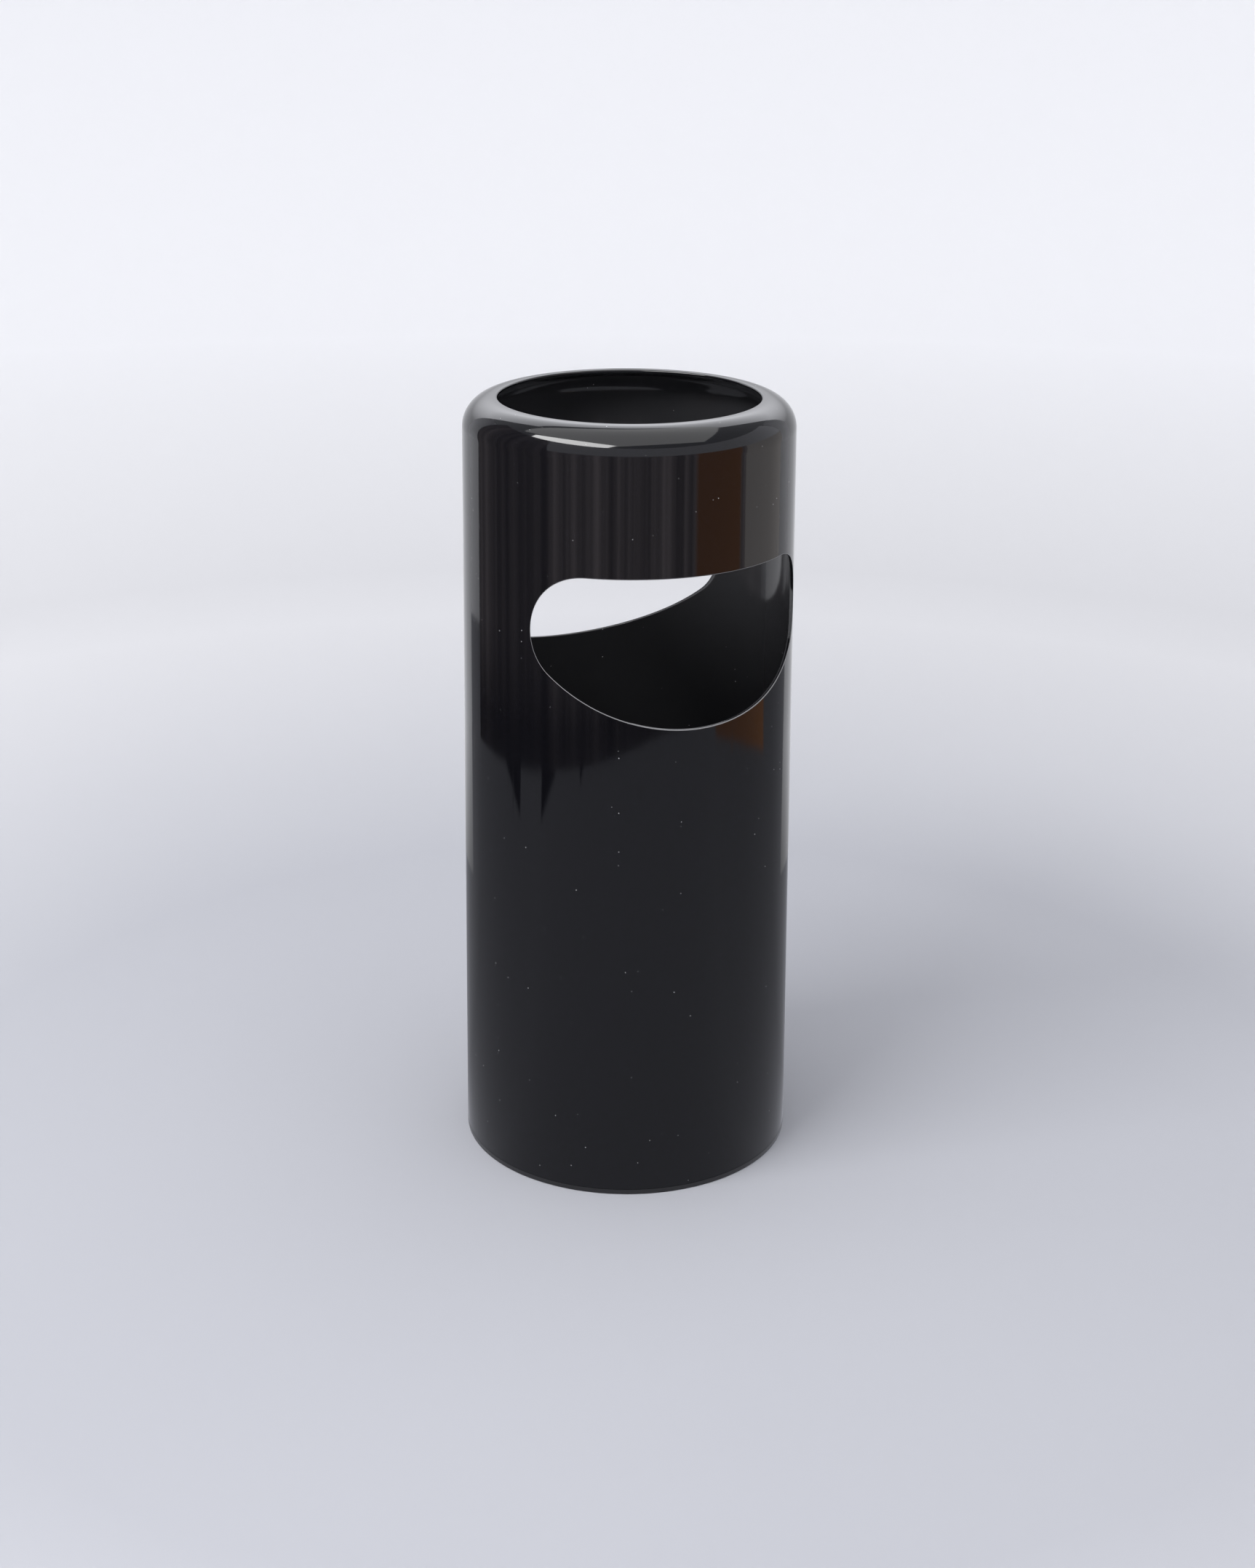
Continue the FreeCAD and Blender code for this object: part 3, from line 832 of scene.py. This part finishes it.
def make_softbox_face(lamp):
    """The lit face of a softbox as the gloss shows it, in place of the lamp's own reflection."""
    nodes = Nodes("softbox_face")
    glow(nodes, (1, 1, 1, 1), SOFTBOX_FACE_STRENGTH)
    width, height = SOFTBOX_FACE_SIZE
    corners = [(x * width / 2, y * height / 2, 0) for x, y in ((-1, -1), (1, -1), (1, 1), (-1, 1))]
    mesh = bpy.data.meshes.new("softbox_face")
    mesh.from_pydata(corners, [], [(0, 1, 2, 3)])
    mesh.materials.append(nodes.material)
    face = bpy.data.objects.new("softbox_face", mesh)
    face.location = lamp.location
    face.rotation_mode = "QUATERNION"
    face.rotation_quaternion = lamp.rotation_quaternion
    bpy.context.scene.collection.objects.link(face)
    reflected_only(face)
    lamp.visible_glossy = False


def make_room():
    """The glowing sheet with the painted room reflection round the camera's side, moved a little to the
    right.
    """
    azimuths = np.radians(np.linspace(ROOM_LEFT, ROOM_RIGHT, ROOM_RIGHT - ROOM_LEFT + 1))
    outline = np.array(((ROOM_RADIUS, 0.0), (ROOM_RADIUS, ROOM_HEIGHT)))
    room = turned_object("dim_room", outline, azimuths, room_material(), False)
    room.rotation_euler.z = CAMERA_AZIMUTH
    room.location = on_stage(90, ROOM_OFFSET, 0)
    reflected_only(room)


def make_back_wall():
    """A glowing white wall close behind, with painted shade at its foot and painted light above."""
    nodes = Nodes("white_wall")
    height = nodes.split(nodes.place())["Z"]
    # Painted shade dims the wall's foot, and painted light brightens it above half a metre.
    low = nodes.ramp(height, 0.0, 0.12, 0.45, 0.85)
    high = nodes.ramp(height, 0.5, 0.75, 0.0, 3.2)
    glow(nodes, BACK_WALL, nodes.math("MAXIMUM", low, high))
    azimuths = np.radians(np.linspace(-BACK_WALL_HALF_WIDTH, BACK_WALL_HALF_WIDTH, BACK_WALL_COLUMNS))
    outline = np.array(((BACK_WALL_DISTANCE, 0.0), (BACK_WALL_DISTANCE, BACK_WALL_HEIGHT)))
    wall = turned_object("white_wall", outline, azimuths, nodes.material, False)
    wall.rotation_euler.z = CAMERA_AZIMUTH + math.pi
    reflected_only(wall)


def make_area_light(name, place, target, size, power):
    """A rectangular soft light at a place, aimed at a target."""
    light = bpy.data.lights.new(name, "AREA")
    light.shape = "RECTANGLE"
    light.size, light.size_y = size
    light.energy = power
    lamp = bpy.data.objects.new(name, light)
    lamp.location = place
    lamp.rotation_mode = "QUATERNION"
    lamp.rotation_quaternion = (Vector(target) - Vector(place)).to_track_quat("-Z", "Y")
    bpy.context.scene.collection.objects.link(lamp)
    return lamp


def on_stage(azimuth, distance, height):
    """A place round the object: azimuth in degrees from the camera's side, towards its right."""
    angle = CAMERA_AZIMUTH + math.radians(azimuth)
    return Vector((distance * math.sin(angle), -distance * math.cos(angle), height))


def make_lights():
    """A soft ceiling, and a softbox in front on the left that casts the shadow."""
    world = bpy.data.worlds.new("studio")
    world.use_nodes = True
    sky = world.node_tree.nodes["Background"]
    sky.inputs["Color"].default_value = SKY
    sky.inputs["Strength"].default_value = SKY_STRENGTH
    bpy.context.scene.world = world
    overhead = on_stage(*CEILING_PLACE)
    below = (overhead.x, overhead.y, 0)
    make_area_light("ceiling", overhead, below, CEILING_SIZE, CEILING_POWER)
    key = make_area_light("key", on_stage(*KEY_PLACE), (0, 0, HEIGHT / 2), KEY_SIZE, KEY_POWER)
    make_softbox_face(key)


def make_camera():
    """The camera, a little above the object and in front of its left."""
    data = bpy.data.cameras.new("camera")
    data.sensor_width = SENSOR_WIDTH
    data.lens = FOCAL_LENGTH
    camera = bpy.data.objects.new("camera", data)
    camera.location = on_stage(0, CAMERA_DISTANCE, CAMERA_HEIGHT)
    flat = Vector((-math.sin(CAMERA_AIM), math.cos(CAMERA_AIM), 0))
    forward = flat * math.cos(CAMERA_PITCH) - Vector((0, 0, math.sin(CAMERA_PITCH)))
    camera.rotation_mode = "QUATERNION"
    roll = Quaternion((0, 0, 1), CAMERA_ROLL)
    camera.rotation_quaternion = forward.to_track_quat("-Z", "Y") @ roll
    bpy.context.scene.collection.objects.link(camera)
    bpy.context.scene.camera = camera


shell = make_shell(gloss_abs())
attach(shell, "stand")
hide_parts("shell")

tray = make_tray(moulded_plastic("satin_black_tray", (0.016, 0.016, 0.017), 0.4))
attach(tray, "tray")
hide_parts("drip_tray")

finish_node("base", moulded_plastic("moulded_black_base", (0.010, 0.010, 0.011), 0.22))
finish_node("ballast_plate", plated_steel("rolled_zinc_plate", (0.55, 0.56, 0.58), 0.38))
finish_node("ballast_screws", plated_steel("bright_zinc_screws", (0.66, 0.67, 0.69), 0.26))
rubber_material = rubber()
for number in range(1, 5):
    finish_node(f"foot_{number}", rubber_material)

make_floor()
make_reflected_floor()
make_room()
make_back_wall()
make_lights()
make_camera()
bpy.context.scene.view_settings.view_transform = "Standard"
